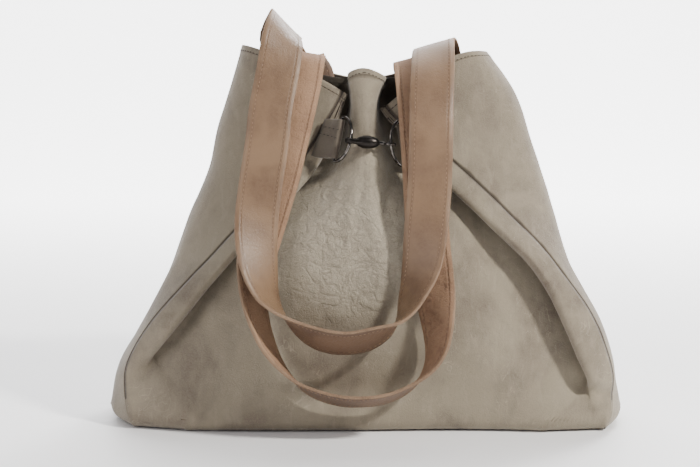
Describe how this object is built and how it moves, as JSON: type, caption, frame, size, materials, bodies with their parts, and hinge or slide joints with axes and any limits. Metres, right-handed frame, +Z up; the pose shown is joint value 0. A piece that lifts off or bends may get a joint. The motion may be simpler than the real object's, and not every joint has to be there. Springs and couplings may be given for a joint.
{
  "type": "leather tote bag",
  "caption": "Slouchy leather tote, its wide mouth gathered to the front centre by a snap clip between D-rings, with flat shoulder straps hanging in front.",
  "frame": {"origin": "middle of the flat underside of the base", "axes": "+Z up, -Y towards the front with the clip, +X to the viewer's right"},
  "size_m": [0.4955, 0.209, 0.3931],
  "materials": {
    "body_leather": "matt brushed greige nubuck",
    "strap_leather": "smooth warm brown leather with raw pale edges",
    "hardware": "polished dark gunmetal"
  },
  "bodies": {
    "bag": {"front_panel": "body_leather", "back_panel": "body_leather", "base_panel": "body_leather", "ring_tab_left": "body_leather", "ring_tab_right": "body_leather", "strap_back": "strap_leather", "strap_front": "strap_leather", "d_ring_left": "hardware", "d_ring_right": "hardware", "clip_body": "hardware", "clip_gate_pin": "hardware", "clip_swivel": "hardware"},
    "gate": {"clip_gate": "hardware"}
  },
  "joints": [
    {"name": "gate_hinge", "type": "hinge", "parent": "bag", "child": "gate", "pos_m": [-0.00109, -0.06727, 0.27238], "axis": [0.0872, 0, 0.9962], "range_deg": [0, 25], "stiffness_Nm_per_rad": 0.01}
  ]
}
